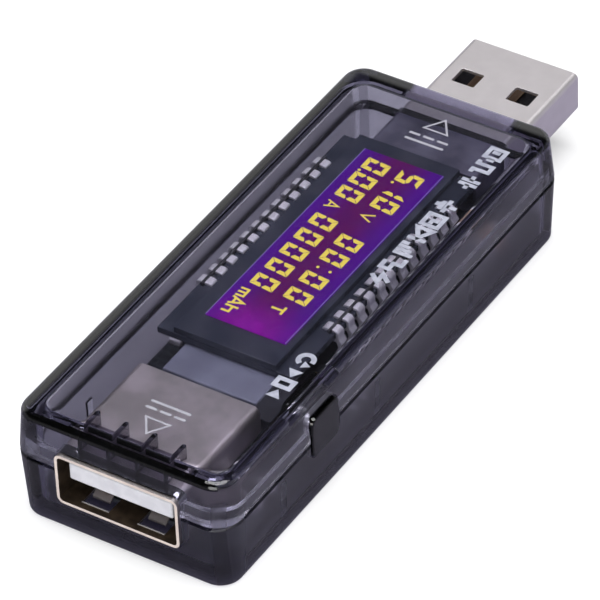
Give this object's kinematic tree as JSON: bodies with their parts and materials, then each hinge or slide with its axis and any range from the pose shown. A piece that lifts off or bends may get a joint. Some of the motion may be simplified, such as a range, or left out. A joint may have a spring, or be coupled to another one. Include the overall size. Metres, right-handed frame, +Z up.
{
  "type": "usb power meter",
  "caption": "Stick-shaped in-line USB meter: clear smoky case in two halves, plug at one end, socket at the other, backlit segment display under the top, sprung reset button in the side.",
  "frame": {"origin": "centre of the case's flat underside", "axes": "+X to the side with the reset button, +Y along the length towards the plug, +Z up through the display"},
  "size_m": [0.0236, 0.0725, 0.0122],
  "materials": {
    "smoky_plastic": "clear smoky grey polycarbonate, polished",
    "black_moulding": "matt black moulding compound",
    "white_moulding": "white thermoplastic",
    "plated_steel": "nickel-plated sheet steel",
    "gold_plate": "gold-plated contact strip",
    "tinned_pins": "tinned clip pins",
    "board_mask": "dark solder mask",
    "lcd_glass": "polished glass",
    "lit_display": "polarising film, lit violet from behind, yellow segments",
    "milky_acrylic": "milky light guide",
    "capacitor_body": "tan ceramic"
  },
  "bodies": {
    "housing": {"top_cover": "smoky_plastic", "bottom_case": "smoky_plastic", "switch_body": "black_moulding", "microcontroller": "black_moulding", "memory_chip": "black_moulding", "sense_amplifier": "black_moulding", "voltage_regulator": "black_moulding", "shunt_resistor": "black_moulding", "resistor_1": "black_moulding", "resistor_2": "black_moulding", "rectifier_diode": "black_moulding", "plug_insulator": "black_moulding", "socket_insulator": "white_moulding", "backlight_led": "white_moulding", "plug_shell": "plated_steel", "socket_shell": "plated_steel", "switch_cover": "plated_steel", "plug_contact_1": "gold_plate", "socket_contact_1": "gold_plate", "plug_contact_2": "gold_plate", "socket_contact_2": "gold_plate", "plug_contact_3": "gold_plate", "socket_contact_3": "gold_plate", "plug_contact_4": "gold_plate", "socket_contact_4": "gold_plate", "lcd_pin_left_01": "tinned_pins", "lcd_pin_left_02": "tinned_pins", "lcd_pin_left_03": "tinned_pins", "lcd_pin_left_04": "tinned_pins", "lcd_pin_left_05": "tinned_pins", "lcd_pin_left_06": "tinned_pins", "lcd_pin_left_07": "tinned_pins", "lcd_pin_left_08": "tinned_pins", "lcd_pin_left_09": "tinned_pins", "lcd_pin_left_10": "tinned_pins", "lcd_pin_left_11": "tinned_pins", "lcd_pin_left_12": "tinned_pins", "lcd_pin_right_01": "tinned_pins", "lcd_pin_right_02": "tinned_pins", "lcd_pin_right_03": "tinned_pins", "lcd_pin_right_04": "tinned_pins", "lcd_pin_right_05": "tinned_pins", "lcd_pin_right_06": "tinned_pins", "lcd_pin_right_07": "tinned_pins", "lcd_pin_right_08": "tinned_pins", "lcd_pin_right_09": "tinned_pins", "lcd_pin_right_10": "tinned_pins", "lcd_pin_right_11": "tinned_pins", "lcd_pin_right_12": "tinned_pins", "main_board": "board_mask", "lcd_front_glass": "lcd_glass", "lcd_rear_glass": "lcd_glass", "lcd_polariser": "lit_display", "backlight_guide": "milky_acrylic", "capacitor_1": "capacitor_body", "capacitor_2": "capacitor_body"},
    "button": {"reset_button": "smoky_plastic"},
    "plunger": {"switch_plunger": "black_moulding"}
  },
  "joints": [
    {"name": "button_press", "type": "slide", "parent": "housing", "child": "button", "axis": [-1, 0, 0], "range_m": [0, 0.0003], "stiffness_N_per_m": 150},
    {"name": "plunger_press", "type": "slide", "parent": "housing", "child": "plunger", "axis": [-1, 0, 0], "range_m": [0, 0.0003]}
  ],
  "couplings": [
    {"joint": "plunger_press", "follows": "button_press", "ratio": 1}
  ]
}
